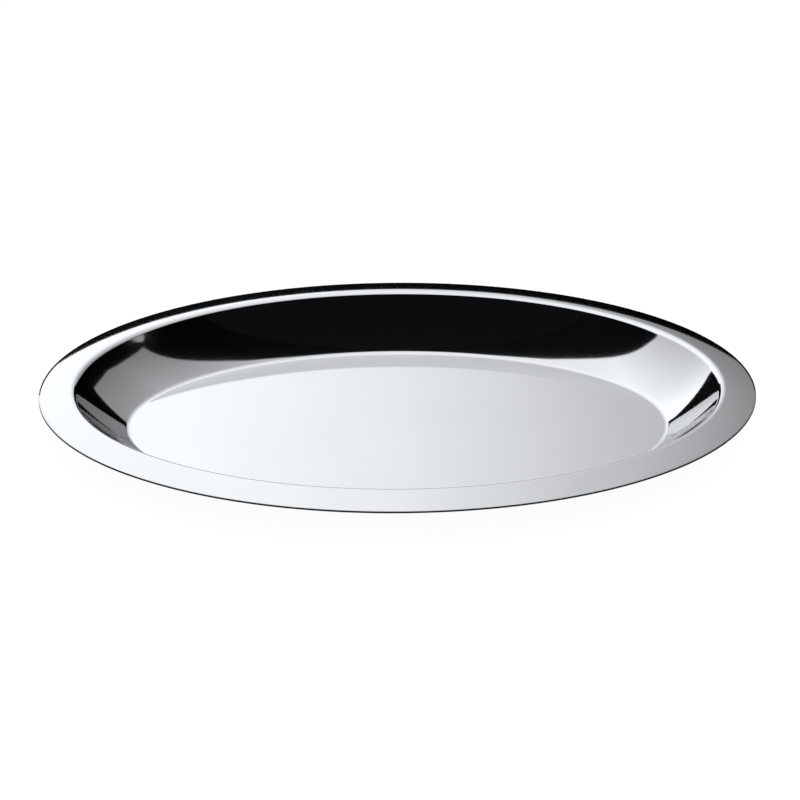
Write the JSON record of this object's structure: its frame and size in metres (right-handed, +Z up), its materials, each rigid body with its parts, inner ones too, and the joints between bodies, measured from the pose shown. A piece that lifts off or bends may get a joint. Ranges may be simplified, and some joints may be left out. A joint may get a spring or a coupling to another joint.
{
  "type": "oval serving tray",
  "caption": "Oval mirror-polished steel serving tray: one pressed sheet with a flat floor, sloping wall and wide, gently falling rim.",
  "frame": {"origin": "centre of the flat underside, where the tray rests on the table", "axes": "+X along the tray's length, +Y across its width, +Z up out of the dish"},
  "size_m": [0.5, 0.34, 0.0323],
  "materials": {
    "polished_steel": "mirror-polished stainless steel"
  },
  "bodies": {
    "root": {"tray_body": "polished_steel"}
  },
  "joints": []
}
